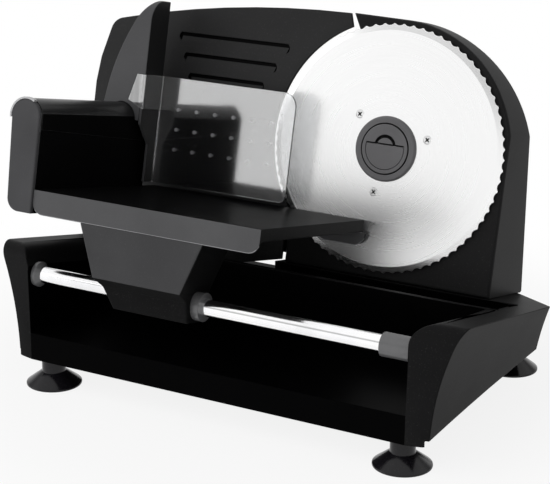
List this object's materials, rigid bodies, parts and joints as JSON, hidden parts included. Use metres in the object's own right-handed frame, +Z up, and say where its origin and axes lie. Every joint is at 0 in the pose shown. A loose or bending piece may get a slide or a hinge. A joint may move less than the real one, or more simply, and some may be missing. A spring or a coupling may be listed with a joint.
{
  "type": "food slicer",
  "caption": "Countertop electric food slicer with a toothed round blade, thickness fence, sliding carriage on a chrome rail, clear pusher guard and suction feet.",
  "frame": {"origin": "on the table, under the middle of the whole slicer's box", "axes": "+Z up, +X along the carriage rail to the blade's side, +Y away from the user"},
  "size_m": [0.4092, 0.2705, 0.2678],
  "materials": {
    "base_plastic": "satin",
    "housing_plastic": "satin",
    "fence_plastic": "satin",
    "tray_black": "gloss",
    "gloss_trim": "gloss",
    "collar_plastic": "satin",
    "hub_plastic": "satin",
    "gear_plastic": "matte",
    "spike_plastic": "gloss",
    "guard_clear": "gloss",
    "foot_rubber": "satin",
    "blade_steel": "brushed",
    "rail_chrome": "polished",
    "screw_steel": "satin",
    "frame_metal": "satin",
    "bearing_bronze": "satin",
    "motor_iron": "rough"
  },
  "bodies": {
    "root": {"base_frame": "base_plastic", "base_plate": "base_plastic", "foot_front_left": "foot_rubber", "foot_front_right": "foot_rubber", "foot_rear_left": "foot_rubber", "foot_rear_right": "foot_rubber", "foot_screws": "screw_steel", "slide_rail": "rail_chrome", "rail_collar_left": "collar_plastic", "rail_collar_right": "collar_plastic", "blade_housing": "housing_plastic", "motor_cover": "housing_plastic", "cover_screws": "screw_steel", "gearbox_plate": "frame_metal", "spindle_bush": "bearing_bronze", "motor_bearing_front": "bearing_bronze", "motor_stator": "motor_iron", "motor_bracket": "frame_metal", "motor_bearing_rear": "bearing_bronze", "switch_body": "gloss_trim", "switch_pin": "screw_steel", "lead_inlet": "foot_rubber", "fence_guide": "housing_plastic"},
    "blade_rotor": {"slicing_blade": "blade_steel", "blade_screws": "screw_steel", "hub_ring": "hub_plastic", "blade_gear": "gear_plastic", "blade_spindle": "screw_steel"},
    "lock_disc": {"blade_lock": "hub_plastic", "tab_pin": "screw_steel"},
    "lock_flap": {"lock_tab": "hub_plastic"},
    "motor_rotor": {"motor_pinion": "screw_steel", "motor_armature": "motor_iron", "motor_fan": "gear_plastic"},
    "carriage": {"carriage_tray": "tray_black", "carriage_wall": "housing_plastic", "carriage_cap": "housing_plastic", "carriage_hood": "gloss_trim", "carriage_bracket": "housing_plastic", "rail_bush_left": "collar_plastic", "rail_bush_right": "collar_plastic", "tray_glide": "collar_plastic"},
    "pusher": {"pusher_fin": "gloss_trim", "pusher_strip": "gloss_trim", "pusher_guard": "guard_clear", "pusher_spikes": "spike_plastic"},
    "fence": {"fence_plate": "fence_plastic", "fence_rod_left": "rail_chrome", "fence_rod_right": "rail_chrome"},
    "knob": {"thickness_knob": "collar_plastic", "knob_shaft": "gear_plastic"},
    "rocker": {"switch_rocker": "gloss_trim"}
  },
  "joints": [
    {"name": "blade_spin", "type": "hinge", "parent": "root", "child": "blade_rotor", "pos_m": [0.065, 0.0555, 0.1715], "axis": [0, 0.9744, -0.225], "continuous": true},
    {"name": "lock_turn", "type": "hinge", "parent": "blade_rotor", "child": "lock_disc", "pos_m": [0.065, 0.0555, 0.1715], "axis": [0, 0.9744, -0.225], "range_deg": [0, 90]},
    {"name": "lock_flap_lift", "type": "hinge", "parent": "lock_disc", "child": "lock_flap", "pos_m": [0.065, 0.05448, 0.1744], "axis": [1, 0, 0], "range_deg": [-90, 0]},
    {"name": "motor_spin", "type": "hinge", "parent": "root", "child": "motor_rotor", "pos_m": [0.065, 0.04571, 0.12911], "axis": [0, 0.9744, -0.225], "continuous": true},
    {"name": "carriage_slide", "type": "slide", "parent": "root", "child": "carriage", "axis": [1, 0, 0], "range_m": [-0.042, 0.13]},
    {"name": "pusher_slide", "type": "slide", "parent": "carriage", "child": "pusher", "axis": [0, -0.9744, 0.225], "range_m": [0, 0.095]},
    {"name": "fence_slide", "type": "slide", "parent": "root", "child": "fence", "axis": [0, 0.9744, -0.225], "range_m": [-0.0023, 0.0125]},
    {"name": "knob_turn", "type": "hinge", "parent": "root", "child": "knob", "pos_m": [-0.042, 0.0375, 0.09355], "axis": [0, 0.9744, -0.225], "range_deg": [-42, 226]},
    {"name": "switch_rock", "type": "hinge", "parent": "root", "child": "rocker", "pos_m": [0.04, 0.13017, 0.096], "axis": [1, 0, 0], "range_deg": [-8, 8]}
  ],
  "couplings": [
    {"joint": "motor_spin", "follows": "blade_spin", "ratio": -4.8},
    {"joint": "knob_turn", "follows": "fence_slide", "rad_per_m": 314.16}
  ]
}
